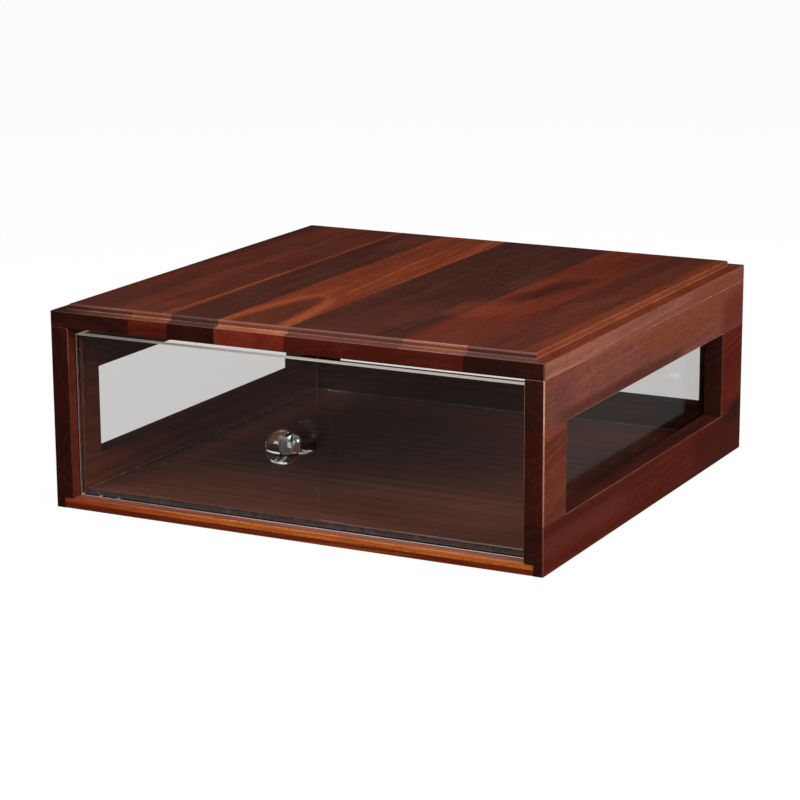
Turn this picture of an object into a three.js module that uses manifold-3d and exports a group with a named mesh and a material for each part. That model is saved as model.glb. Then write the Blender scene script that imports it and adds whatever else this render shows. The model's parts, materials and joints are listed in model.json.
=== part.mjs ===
// Countertop bread display bin: a low wooden case with a window in each side and in the back, and a
// clear acrylic box that slides in it like a drawer.
// Millimetres, +Z up. The origin is at the middle of the case's underside, and the drawer opens to -Y.

import * as THREE from 'three';
import { mergeVertices } from 'three/addons/utils/BufferGeometryUtils.js';
import Module from 'manifold-3d';

const wasm = await Module();
wasm.setup();

// Driving dimensions of the case

const caseWidth = 445;
const caseDepth = 434;
const sideHeight = 154;
const sideBoard = 16.5;
const backBoard = 16.5;
const bottomBoard = 9.5;

// The top board: a ledge all round, and a field that stands up inside it

const ledgeBoard = 13.5;
const fieldRise = 5.5;
const fieldFrontInset = 7.5;
const fieldSideInset = 10;
const fieldBackInset = 15;
const fieldArrisRadius = 1.2;
const fieldCoveRadius = 3.4;
const arrisSteps = 3;

// Where the top board's staves meet, as shares of the case's width from its left side

const staveSeamShares = [0.17, 0.253, 0.352, 0.496, 0.723, 0.848];

// Rails and stiles round the windows

const lowerRailHeight = 39.5;
const upperRailHeight = 40;
const frontStileWidth = 43;
const rearStileWidth = 50;
const backStileWidth = 20;

// The rabbet that each side's lower rail has for the bottom board, and that board's eased front arris

const rabbetWidth = sideBoard / 2;
const bottomArrisRise = 3.8;
const bottomArrisSetback = 1.4;

// The acrylic drawer

const drawerRecess = 10;
const drawerSideGap = 1;
const drawerBottomGap = 0.3;
const drawerBackGap = 0.3;
const drawerTopGap = 6.5;
const frontSheet = 6;
const wallSheet = 4.5;

// The ball knob, the insert in it, and the screw and washer that hold it

const ballDiameter = 28;
const neckDiameter = 12;
const neckLength = 4.5;
const neckFlare = 1;
const insertDiameter = 8;
const insertLength = 13;
const insertEnd = 1.2;
const knobScrewDiameter = 4;
const knobHeadDiameter = 8;
const knobHeadHeight = 2.6;
const knobHeadChamfer = 0.9;
const knobSocketWidth = 2.5;
const knobSocketDepth = 1.5;
const washerDiameter = 10;
const washerThickness = 0.8;

// Dowels and countersunk screws, hidden or underneath

const dowelDiameter = 8;
const dowelShortHold = 9;
const dowelLongHold = 15;
const dowelChamfer = 0.8;
const topDowelShares = [0.1, 0.5, 0.88];
const screwDiameter = 3;
const screwLength = 22;
const screwTipLength = 4;
const screwHeadDiameter = 6;
const screwHeadHeight = 1.8;
const screwCrossLength = 3.2;
const screwCrossWidth = 0.7;
const screwCrossDepth = 1.1;
const sideScrewShares = [0.12, 0.5, 0.86];
const backScrewShares = [0.3, 0.7];

// Clearances shared by everything that sits in a bore, and the overrun that every cut gets

const boreGap = 0.3;
const endGap = 0.4;
const cutOverrun = 1;
const roundSides = 16;
const ballSides = 32;

// Planes that follow from the sizes above

const caseRight = caseWidth / 2;
const caseLeft = -caseRight;
const caseBack = caseDepth / 2;
const caseFront = -caseBack;
const innerRight = caseRight - sideBoard;
const innerLeft = -innerRight;
const innerBack = caseBack - backBoard;
const windowBottom = lowerRailHeight;
const windowTop = sideHeight - upperRailHeight;
const windowFront = caseFront + frontStileWidth;
const windowRear = caseBack - rearStileWidth;
const ledgeTop = sideHeight + ledgeBoard;
const fieldTop = ledgeTop + fieldRise;
const rabbetRight = innerRight + rabbetWidth;
const backMiddle = caseBack - backBoard / 2;
const sideMiddle = caseRight - sideBoard / 2;

const drawerFace = caseFront + drawerRecess;
const drawerInnerFace = drawerFace + frontSheet;
const drawerRear = innerBack - drawerBackGap;
const drawerRight = innerRight - drawerSideGap;
const drawerLeft = -drawerRight;
const drawerUnder = bottomBoard + drawerBottomGap;
const drawerTop = sideHeight - drawerTopGap;
const drawerFloorTop = drawerUnder + wallSheet;
const knobHeight = (drawerUnder + drawerTop) / 2;

// Finishes

const woodTones = {
  dark: 0x3a1c12,
  red: 0x5a2415,
  brown: 0x6a3520,
  figured: 0x7a4226,
};

function wood(tone) {
  return new THREE.MeshStandardMaterial({ color: woodTones[tone], roughness: 0.35, metalness: 0 });
}

function acrylic() {
  return new THREE.MeshStandardMaterial({
    color: 0xeef2f2, roughness: 0.05, metalness: 0, transparent: true, opacity: 0.3,
  });
}

function beech() {
  return new THREE.MeshStandardMaterial({ color: 0xc79a63, roughness: 0.7, metalness: 0 });
}

function steel() {
  return new THREE.MeshStandardMaterial({ color: 0xb9bcc0, roughness: 0.3, metalness: 1 });
}

// Shapes

// Moves each point of a geometry to where the given rule puts it
function remapped(geometry, rule) {
  const points = geometry.attributes.position;
  for (let i = 0; i < points.count; i += 1) {
    points.setXYZ(i, ...rule(points.getX(i), points.getY(i), points.getZ(i)));
  }
  return geometry;
}

// A box between two values on each axis. A unit box's points are set to those values themselves, so
// that two boxes that meet share a face exactly
function block([x0, x1], [y0, y1], [z0, z1]) {
  return remapped(new THREE.BoxGeometry(), (x, y, z) => [
    x > 0 ? x1 : x0, y > 0 ? y1 : y0, z > 0 ? z1 : z0,
  ]);
}

// A flat outline, run up by one unit
function plate(outline) {
  const shape = new THREE.Shape(outline.map(([u, v]) => new THREE.Vector2(u, v)));
  return new THREE.ExtrudeGeometry(shape, { depth: 1, bevelEnabled: false });
}

// An outline of [y, z] points, run along X
function prismAlongX(outline, [x0, x1]) {
  return remapped(plate(outline), (u, v, run) => [run > 0 ? x1 : x0, u, v]);
}

// An outline of [x, z] points, run along Y
function prismAlongY(outline, [y0, y1]) {
  return remapped(plate(outline), (u, v, run) => [u, run > 0 ? y0 : y1, v]);
}

// A profile of [radius, height] points turned round Z, from the axis to the axis
function turned(profile, sides) {
  const points = profile.map(([radius, height]) => new THREE.Vector2(radius, height));
  return new THREE.LatheGeometry(points, sides).rotateX(Math.PI / 2);
}

// A plain round bar along Z, from one height to another
function bar(radius, low, high) {
  return turned([[0, low], [radius, low], [radius, high], [0, high]], roundSides);
}

// Points on a quarter circle, from one angle to another
function arc([u, v], radius, from, to, steps) {
  return Array.from({ length: steps + 1 }, (_, step) => {
    const angle = from + ((to - from) * step) / steps;
    return [u + radius * Math.cos(angle), v + radius * Math.sin(angle)];
  });
}

// Cutting and joining

function solidOf(geometry) {
  const bare = geometry.clone();
  bare.deleteAttribute('normal');
  bare.deleteAttribute('uv');
  const merged = mergeVertices(bare);
  const mesh = new wasm.Mesh({
    numProp: 3,
    vertProperties: new Float32Array(merged.attributes.position.array),
    triVerts: new Uint32Array(merged.index.array),
  });
  return new wasm.Manifold(mesh);
}

function geometryOf(solid) {
  const mesh = solid.getMesh();
  const geometry = new THREE.BufferGeometry();
  geometry.setAttribute('position', new THREE.BufferAttribute(mesh.vertProperties, mesh.numProp));
  geometry.setIndex(new THREE.BufferAttribute(mesh.triVerts, 1));
  geometry.computeVertexNormals();
  return geometry;
}

function joined(geometries) {
  return geometries.map(solidOf).reduce((whole, next) => whole.add(next));
}

function cut(geometry, cutters) {
  if (cutters.length === 0) return geometry;
  return geometryOf(solidOf(geometry).subtract(joined(cutters)));
}

function common(first, second) {
  return geometryOf(solidOf(first).intersect(solidOf(second)));
}

// The object

const bin = new THREE.Group();
bin.name = 'bread_display_bin';

function addPiece(name, geometry, material) {
  const mesh = new THREE.Mesh(geometry, material);
  mesh.name = name;
  bin.add(mesh);
}

function addNumbered(name, geometries, makeMaterial) {
  geometries.forEach((geometry, index) => addPiece(`${name}_${index + 1}`, geometry, makeMaterial()));
}

// Dowels. Each stands on a seam plane, with its short hold on one side and its long hold on the other

function dowelShape() {
  const radius = dowelDiameter / 2;
  const low = -dowelLongHold + endGap;
  const high = dowelShortHold - endGap;
  return turned([
    [0, low], [radius - dowelChamfer, low], [radius, low + dowelChamfer],
    [radius, high - dowelChamfer], [radius - dowelChamfer, high], [0, high],
  ], roundSides);
}

function dowelBore() {
  return bar(dowelDiameter / 2 + boreGap, -dowelLongHold, dowelShortHold);
}

function placedUpright(makeShape, places) {
  return places.map(([x, y, z]) => makeShape().translate(x, y, z));
}

// Lies along X with its short hold towards the outside of the given side, 1 for right and -1 for left
function placedSideways(makeShape, places, side) {
  return places.map(([x, y, z]) => makeShape().rotateY((side * Math.PI) / 2).translate(x, y, z));
}

const topDowelDepths = topDowelShares.map((share) => caseFront + share * caseDepth);
const sideTopDowels = (side) => topDowelDepths.map((y) => [side * sideMiddle, y, sideHeight]);
const staveSeams = [caseLeft, ...staveSeamShares.map((share) => caseLeft + share * caseWidth), caseRight];
const backTopDowels = [1, 3, 5].map((stave) => [
  (staveSeams[stave] + staveSeams[stave + 1]) / 2, backMiddle, sideHeight,
]);
const backDowelHeights = [
  (bottomBoard + lowerRailHeight) / 2, (windowBottom + windowTop) / 2, sideHeight - upperRailHeight / 2,
];
const sideBackDowels = (side) => backDowelHeights.map((z) => [side * innerRight, backMiddle, z]);

const topBores = placedUpright(dowelBore, [
  ...sideTopDowels(1), ...sideTopDowels(-1), ...backTopDowels,
]);
const rightBackBores = placedSideways(dowelBore, sideBackDowels(1), 1);
const leftBackBores = placedSideways(dowelBore, sideBackDowels(-1), -1);

addNumbered('right_top_dowel', placedUpright(dowelShape, sideTopDowels(1)), beech);
addNumbered('left_top_dowel', placedUpright(dowelShape, sideTopDowels(-1)), beech);
addNumbered('back_top_dowel', placedUpright(dowelShape, backTopDowels), beech);
addNumbered('right_back_dowel', placedSideways(dowelShape, sideBackDowels(1), 1), beech);
addNumbered('left_back_dowel', placedSideways(dowelShape, sideBackDowels(-1), -1), beech);

// Countersunk screws up through the bottom board, with a cross in each head

const screwLines = [
  ...sideScrewShares.map((share) => [innerRight + rabbetWidth / 2, caseFront + share * caseDepth]),
  ...sideScrewShares.map((share) => [innerLeft - rabbetWidth / 2, caseFront + share * caseDepth]),
  ...backScrewShares.map((share) => [innerLeft + share * (innerRight - innerLeft), backMiddle]),
];

function screwShape() {
  const shank = screwDiameter / 2;
  const head = screwHeadDiameter / 2;
  const tip = boreGap + screwLength;
  const body = turned([
    [0, boreGap], [head, boreGap], [shank, boreGap + screwHeadHeight],
    [shank, tip - screwTipLength], [0, tip],
  ], roundSides);
  const armHalf = screwCrossLength / 2;
  const wallHalf = screwCrossWidth / 2;
  const depth = [boreGap - cutOverrun, boreGap + screwCrossDepth];
  return cut(body, [
    block([-armHalf, armHalf], [-wallHalf, wallHalf], depth),
    block([-wallHalf, wallHalf], [-armHalf, armHalf], depth),
  ]);
}

// The countersink keeps the same gap to the head and the shank, and opens on the underside
function screwBore() {
  const shank = screwDiameter / 2 + boreGap;
  const head = screwHeadDiameter / 2 + boreGap;
  return turned([
    [0, -cutOverrun], [head, -cutOverrun], [head, boreGap], [shank, boreGap + screwHeadHeight],
    [shank, boreGap + screwLength + endGap], [0, boreGap + screwLength + endGap],
  ], roundSides);
}

const atScrewLines = (makeShape) => screwLines.map(([x, y]) => makeShape().translate(x, y, 0));
const screwBores = atScrewLines(screwBore);
addNumbered('bottom_screw', atScrewLines(screwShape), steel);

// The top board. Its section front to back and its section side to side are run the full way and
// crossed, which mitres the field's edge at its corners. The staves are cut from it at their seams

function boardSection([low, high], [lowInset, highInset]) {
  const quarter = Math.PI / 2;
  const fieldLow = low + lowInset;
  const fieldHigh = high - highInset;
  const coveHeight = ledgeTop + fieldCoveRadius;
  const arrisHeight = fieldTop - fieldArrisRadius;
  const cove = (u, from, to) => arc([u, coveHeight], fieldCoveRadius, from, to, arrisSteps);
  const arris = (u, from, to) => arc([u, arrisHeight], fieldArrisRadius, from, to, arrisSteps);
  return [
    [low, sideHeight],
    [high, sideHeight],
    [high, ledgeTop],
    ...cove(fieldHigh + fieldCoveRadius, -quarter, -2 * quarter),
    ...arris(fieldHigh - fieldArrisRadius, 0, quarter),
    ...arris(fieldLow + fieldArrisRadius, quarter, 2 * quarter),
    ...cove(fieldLow - fieldCoveRadius, 0, -quarter),
    [low, ledgeTop],
  ];
}

const topBoard = cut(
  common(
    prismAlongX(
      boardSection([caseFront, caseBack], [fieldFrontInset, fieldBackInset]),
      [caseLeft, caseRight],
    ),
    prismAlongY(
      boardSection([caseLeft, caseRight], [fieldSideInset, fieldSideInset]),
      [caseFront, caseBack],
    ),
  ),
  topBores,
);

const staveTones = ['red', 'red', 'dark', 'figured', 'dark', 'brown', 'red'];
staveTones.forEach((tone, index) => {
  const width = [
    index === 0 ? caseLeft - cutOverrun : staveSeams[index],
    index === staveTones.length - 1 ? caseRight + cutOverrun : staveSeams[index + 1],
  ];
  const slice = block(
    width,
    [caseFront - cutOverrun, caseBack + cutOverrun],
    [sideHeight - cutOverrun, fieldTop + cutOverrun],
  );
  addPiece(`top_stave_${index + 1}`, common(topBoard, slice), wood(tone));
});

// The sides. Rails run the full depth, and the stiles between them leave the window

function addSide(name, side, backBores) {
  const mirrored = ([near, far]) => [side * near, side * far].sort((a, b) => a - b);
  const across = mirrored([innerRight, caseRight]);
  const rabbet = block(
    mirrored([innerRight - cutOverrun, rabbetRight]),
    [caseFront - cutOverrun, caseBack + cutOverrun],
    [-cutOverrun, bottomBoard],
  );
  addPiece(`${name}_lower_rail`, cut(
    block(across, [caseFront, caseBack], [0, windowBottom]),
    [rabbet, ...screwBores, ...backBores],
  ), wood('red'));
  addPiece(`${name}_front_stile`, block(
    across, [caseFront, windowFront], [windowBottom, windowTop],
  ), wood('brown'));
  addPiece(`${name}_rear_stile`, cut(
    block(across, [windowRear, caseBack], [windowBottom, windowTop]), backBores,
  ), wood('brown'));
  addPiece(`${name}_upper_rail`, cut(
    block(across, [caseFront, caseBack], [windowTop, sideHeight]), [...topBores, ...backBores],
  ), wood('red'));
}

addSide('right', 1, rightBackBores);
addSide('left', -1, leftBackBores);

// The back stands on the bottom board, between the sides

const backDepth = [innerBack, caseBack];
const backBores = [...rightBackBores, ...leftBackBores];

addPiece('back_lower_rail', cut(
  block([innerLeft, innerRight], backDepth, [bottomBoard, windowBottom]),
  [...screwBores, ...backBores],
), wood('dark'));
addPiece('back_right_stile', cut(
  block([innerRight - backStileWidth, innerRight], backDepth, [windowBottom, windowTop]),
  rightBackBores,
), wood('dark'));
addPiece('back_left_stile', cut(
  block([innerLeft, innerLeft + backStileWidth], backDepth, [windowBottom, windowTop]),
  leftBackBores,
), wood('dark'));
addPiece('back_upper_rail', cut(
  block([innerLeft, innerRight], backDepth, [windowTop, sideHeight]),
  [...topBores, ...backBores],
), wood('dark'));

// The bottom board reaches into both rabbets, and its front arris is eased

addPiece('bottom_board', cut(
  prismAlongX([
    [caseFront, 0],
    [caseBack, 0],
    [caseBack, bottomBoard],
    [caseFront + bottomArrisSetback, bottomBoard],
    [caseFront, bottomBoard - bottomArrisRise],
  ], [-rabbetRight, rabbetRight]),
  screwBores,
), wood('brown'));

// The drawer: the front covers the ends of the side walls, which cover the ends of the back wall,
// and the floor lies between all four

const alongDrawer = [drawerInnerFace, drawerRear];
const drawerInnerRight = drawerRight - wallSheet;
const drawerInnerLeft = -drawerInnerRight;
const drawerInnerRear = drawerRear - wallSheet;

// Lies along Y at the knob's height, with the shape's +Z pointing out of the drawer's front
function onKnobAxis(geometry) {
  return geometry.rotateX(Math.PI / 2).translate(0, drawerFace, knobHeight);
}

const knobScrewHole = onKnobAxis(
  bar(knobScrewDiameter / 2 + boreGap, -frontSheet - cutOverrun, cutOverrun),
);
addPiece('drawer_front', cut(
  block([drawerLeft, drawerRight], [drawerFace, drawerInnerFace], [drawerUnder, drawerTop]),
  [knobScrewHole],
), acrylic());
addPiece('drawer_right_wall', block(
  [drawerInnerRight, drawerRight], alongDrawer, [drawerUnder, drawerTop],
), acrylic());
addPiece('drawer_left_wall', block(
  [drawerLeft, drawerInnerLeft], alongDrawer, [drawerUnder, drawerTop],
), acrylic());
addPiece('drawer_back_wall', block(
  [drawerInnerLeft, drawerInnerRight], [drawerInnerRear, drawerRear], [drawerUnder, drawerTop],
), acrylic());
addPiece('drawer_floor', block(
  [drawerInnerLeft, drawerInnerRight], [drawerInnerFace, drawerInnerRear],
  [drawerUnder, drawerFloorTop],
), acrylic());

// The knob: a ball on a short neck, bored from its foot for the insert

const ballRadius = ballDiameter / 2;
const neckRadius = neckDiameter / 2;
const seatReach = Math.sqrt(ballRadius ** 2 - neckRadius ** 2);
const ballMiddle = neckLength + seatReach;
const insertFar = endGap + insertLength;

const knobProfile = [
  [0, insertFar + endGap],
  [insertDiameter / 2 + boreGap, insertFar + endGap],
  [insertDiameter / 2 + boreGap, 0],
  [neckRadius + neckFlare, 0],
  [neckRadius, neckLength / 2],
  ...arc([0, ballMiddle], ballRadius, -Math.acos(neckRadius / ballRadius), Math.PI / 2, ballSides / 2),
];
knobProfile[knobProfile.length - 1][0] = 0;
addPiece('knob_ball', onKnobAxis(turned(knobProfile, ballSides)), acrylic());

const threadRadius = knobScrewDiameter / 2 + boreGap;
const threadEnd = insertFar - insertEnd;
addPiece('knob_insert', onKnobAxis(turned([
  [0, threadEnd], [threadRadius, threadEnd], [threadRadius, endGap],
  [insertDiameter / 2, endGap], [insertDiameter / 2, insertFar], [0, insertFar],
], roundSides)), steel());

const washerSeat = -frontSheet;
const headSeat = washerSeat - washerThickness;
addPiece('knob_washer', onKnobAxis(cut(
  bar(washerDiameter / 2, headSeat, washerSeat),
  [bar(threadRadius, headSeat - cutOverrun, washerSeat + cutOverrun)],
)), steel());

const headRadius = knobHeadDiameter / 2;
const headEnd = headSeat - knobHeadHeight;
const screwEnd = threadEnd - endGap;
const socketHalf = knobSocketWidth / 2;
addPiece('knob_screw', onKnobAxis(cut(turned([
  [0, headEnd], [headRadius - knobHeadChamfer, headEnd], [headRadius, headEnd + knobHeadChamfer],
  [headRadius, headSeat], [knobScrewDiameter / 2, headSeat], [knobScrewDiameter / 2, screwEnd],
  [0, screwEnd],
], roundSides), [
  block(
    [-socketHalf, socketHalf], [-socketHalf, socketHalf],
    [headEnd - cutOverrun, headEnd + knobSocketDepth],
  ),
])), steel());

export default bin;
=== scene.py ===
import json
import math

import bmesh
import bpy
from mathutils import Euler, Matrix, Vector


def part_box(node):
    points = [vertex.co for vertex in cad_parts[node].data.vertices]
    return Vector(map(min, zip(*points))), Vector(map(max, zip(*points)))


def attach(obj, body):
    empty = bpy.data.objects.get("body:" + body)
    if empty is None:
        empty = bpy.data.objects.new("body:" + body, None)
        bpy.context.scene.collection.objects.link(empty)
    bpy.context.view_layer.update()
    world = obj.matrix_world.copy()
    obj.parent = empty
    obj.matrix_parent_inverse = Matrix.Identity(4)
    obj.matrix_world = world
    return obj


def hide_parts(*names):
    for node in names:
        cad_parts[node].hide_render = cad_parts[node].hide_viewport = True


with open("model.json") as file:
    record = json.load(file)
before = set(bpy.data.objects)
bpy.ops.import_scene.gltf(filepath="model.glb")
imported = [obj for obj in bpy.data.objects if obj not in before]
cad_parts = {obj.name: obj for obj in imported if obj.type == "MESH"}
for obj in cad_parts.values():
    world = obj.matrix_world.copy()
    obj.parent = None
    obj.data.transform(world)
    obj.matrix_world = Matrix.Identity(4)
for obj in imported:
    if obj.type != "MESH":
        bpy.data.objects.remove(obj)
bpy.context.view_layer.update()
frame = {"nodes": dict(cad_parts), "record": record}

MM = 0.001
X, Y, Z = range(3)
scene = bpy.context.scene


# Where things are, read from the frame

CASE_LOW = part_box("left_lower_rail")[0]
CASE_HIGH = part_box("right_upper_rail")[1]
FIELD_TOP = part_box("top_stave_1")[1].z
SIDE_TOP = CASE_HIGH.z
STAVES = [f"top_stave_{number}" for number in range(1, 8)]
SIDE_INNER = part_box("right_lower_rail")[0].x
BACK_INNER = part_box("back_lower_rail")[0].y
BOARD_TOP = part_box("bottom_board")[1].z
BOARD_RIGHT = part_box("bottom_board")[1].x
WINDOW_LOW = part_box("right_lower_rail")[1].z
WINDOW_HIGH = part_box("right_upper_rail")[0].z
WINDOW_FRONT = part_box("right_front_stile")[1].y
WINDOW_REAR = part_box("right_rear_stile")[0].y
BACK_WINDOW_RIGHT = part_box("back_right_stile")[0].x
DRAWER_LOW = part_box("drawer_front")[0]
DRAWER_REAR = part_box("drawer_back_wall")[1].y
DRAWER_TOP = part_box("drawer_front")[1].z
HOLLOW_LOW = Vector((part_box("drawer_floor")[0].x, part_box("drawer_front")[1].y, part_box("drawer_floor")[1].z))
HOLLOW_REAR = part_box("drawer_back_wall")[0].y
KNOB_LOW, KNOB_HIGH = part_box("knob_ball")
KNOB_MIDDLE = (KNOB_LOW.z + KNOB_HIGH.z) / 2
INSERT_LOW, INSERT_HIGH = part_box("knob_insert")


# Sizes that the frame doesn't give by itself

LEDGE_TOP = SIDE_TOP + 13.5 * MM
FIELD_FRONT_INSET = 7.5 * MM
FIELD_LEFT_INSET = 13 * MM
FIELD_RIGHT_INSET = 10 * MM
FIELD_BACK_INSET = 15 * MM
LEDGE_ARRIS = 0.5 * MM
LEDGE_RISE = 0.9 * MM
BEAD_WIDTH = 0.5 * MM
BEAD_RISE = 0.6 * MM
FIELD_ARRIS = 1.7 * MM
FIELD_CORNER = 0.9 * MM
LEAST_CORNER = 0.25 * MM
OUTER_CORNER = 1.2 * MM
SEAM_ARRIS = 0.3 * MM
WINDOW_ARRIS = 0.6 * MM
FOOT_ARRIS = 0.8 * MM
MOUTH_ARRIS = 0.4 * MM
BOARD_ARRIS_RISE = 3.8 * MM
BOARD_ARRIS_SETBACK = 1.4 * MM
BOARD_LIP = 12 * MM
ACRYLIC_ARRIS = 0.7 * MM
CEMENT_BEAD = 0.9 * MM
CEMENT_FILM = 0.1 * MM
KNOB_NECK = 12 * MM
KNOB_NECK_FLARE = 1 * MM
KNOB_NECK_LENGTH = 4.5 * MM
KNOB_STANDOFF = 0.05 * MM
KNOB_BORE = 4.6 * MM
INSERT_CHAMFER = 0.6 * MM
INSERT_GROOVE = 0.5 * MM
BORE_GAP = 0.3 * MM
END_GAP = 0.4 * MM
CUT_MARGIN = 20 * MM
RIM_MARGIN = 1 * MM
TOUCH = 0.01 * MM
SAME_POINT = TOUCH / 10

# Numbers of grooves, of faces round an arris or a corner, and of sides round a turned part
INSERT_GROOVES = 4
ARRIS_STEPS = 4
CORNER_STEPS = 5
SEAM_STEPS = 2
BALL_SIDES = 64
INSERT_SIDES = 48

# Edges that turn by more degrees than these stay sharp
SHARP_TURN = 40
INSERT_SHARP_TURN = 30
# Faces that turn by fewer degrees than this are joined into one
FLAT_TURN = 1
# A normal with more than this share along an axis faces that way
FACING = 0.9
# Two faces turn over the drawer's rim when their normals' heights differ by more than this
RIM_TURN = 0.5


# Nodes and colours

def linear(hex_colour):
    """An sRGB hex value as the linear colour that the shaders take"""
    values = [int(hex_colour[i:i + 2], 16) / 255 for i in (1, 3, 5)]
    return (*(v / 12.92 if v <= 0.04045 else ((v + 0.055) / 1.055) ** 2.4 for v in values), 1)


def add(tree, kind, inputs=None, output=0, **settings):
    """Adds a node with its settings, and gives one of its outputs. An input that is given an output is
    linked, and any other is set"""
    node = tree.nodes.new(kind)
    for key, value in settings.items():
        setattr(node, key, value)
    for key, value in (inputs or {}).items():
        if isinstance(value, bpy.types.NodeSocket):
            tree.links.new(value, node.inputs[key])
        else:
            node.inputs[key].default_value = value
    return node.outputs[output] if node.outputs else None


# Places of the inputs and the output of the nodes that mix colours
SHARE, MIX_A, MIX_B, MIX_RESULT = 0, 6, 7, 2
# Places of the inputs of the nodes that map one range onto another
VALUE, FROM_LOW, FROM_HIGH, TO_LOW, TO_HIGH = 0, 1, 2, 3, 4
# Place of a vector node's output that is a number
NUMBER = 1
# Where most of a noise's values start and end
NOISE_LOW, NOISE_HIGH = 0.3, 0.7

# Each pitch and length of a pattern, in the materials below, is in mm


def new_material(name):
    material = bpy.data.materials.new(name)
    material.use_nodes = True
    material.node_tree.nodes.clear()
    return material, material.node_tree


# Stained acacia, glued up from strips, planed, stained red-brown and sprayed with satin lacquer.
# The stain settles in the soft parts of each growth ring and in the pores, so the rings, fibres and
# pores show as fine darker lines along the strip, and every strip takes it differently.
# The finest fibres and the pores are drawn two to three times as wide as they are, or they wouldn't show.
# A pitch goes across the strip, and a length along it

GRAIN_TURN = {"y": 0, "x": math.radians(90)}
SEED_STEP = Vector((137, 911, 57))
WANDER_PITCH = 60
WANDER_LENGTH = 300
RING_BEND = 22
FIBRE_PITCH = 2.4
FIBRE_LENGTH = 80
PORE_PITCH = 1.2
PORE_LENGTH = 9
CLOUD_PITCH = 26
CLOUD_LENGTH = 190
CURL_PITCH = 16
CURL_LENGTH = 3.5
MARK_DRIFT = Vector((5, 50, 5))
MARK_FADE = 20
MARK_CORE = 0.25
ARCH_CURVE = 0.5
ARCH_RIM = 4.5
ARCH_RIM_REACH = 8.1
ARCH_RIM_CORE = 1.8
ARCH_RIM_STRENGTH = 0.45
ARCH_INSIDE_START = -1
ARCH_INSIDE_FULL = 9
ARCH_INSIDE_STRENGTH = 0.75
RING_SHARE = 0.8
FIBRE_SHARE = 0.42
CLOUD_SHARE = 0.55
PORE_SHARE = 0.35
PORE_START = 0.56
PORE_FULL = 0.7
PORE_STAIN = "#1c0a06"
DARK_PLACE, MIDDLE_PLACE, LIGHT_PLACE = 0.2, 0.5, 0.8
FIBRE_RELIEF = 0.5
RELIEF_DEPTH = 0.05 * MM
LACQUER_IOR = 1.5
LACQUER_LEVEL = 0.12
ARRIS_LEVEL = 0.25


def add_mark(tree, colour, side_way, long_way, mark):
    """Lays a stain or a streak over a colour. A mark is its middle across at its start and at its end,
    its half width, its start and end along, all in mm, its colour and its strength. A share of its half
    width, MARK_CORE, has the full strength"""
    first, last, half, start, end, stain, strength = mark
    middle = add(tree, "ShaderNodeMapRange", {
        VALUE: long_way, FROM_LOW: start, FROM_HIGH: end, TO_LOW: first, TO_HIGH: last,
    })
    off = add(tree, "ShaderNodeMath", {0: side_way, 1: middle}, operation="SUBTRACT")
    apart = add(tree, "ShaderNodeMath", {0: off}, operation="ABSOLUTE")
    in_width = add(tree, "ShaderNodeMapRange", {
        VALUE: apart, FROM_LOW: half, FROM_HIGH: half * MARK_CORE, TO_HIGH: strength,
    }, interpolation_type="SMOOTHSTEP")
    after = add(tree, "ShaderNodeMapRange", {
        VALUE: long_way, FROM_LOW: start - MARK_FADE, FROM_HIGH: start + MARK_FADE,
    }, interpolation_type="SMOOTHSTEP")
    before = add(tree, "ShaderNodeMapRange", {
        VALUE: long_way, FROM_LOW: end + MARK_FADE, FROM_HIGH: end - MARK_FADE,
    }, interpolation_type="SMOOTHSTEP")
    in_length = add(tree, "ShaderNodeMath", {0: after, 1: before}, operation="MULTIPLY")
    inside = add(tree, "ShaderNodeMath", {0: in_width, 1: in_length}, operation="MULTIPLY")
    return add(tree, "ShaderNodeMix", {SHARE: inside, MIX_A: colour, MIX_B: linear(stain)},
               MIX_RESULT, data_type="RGBA")


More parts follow.
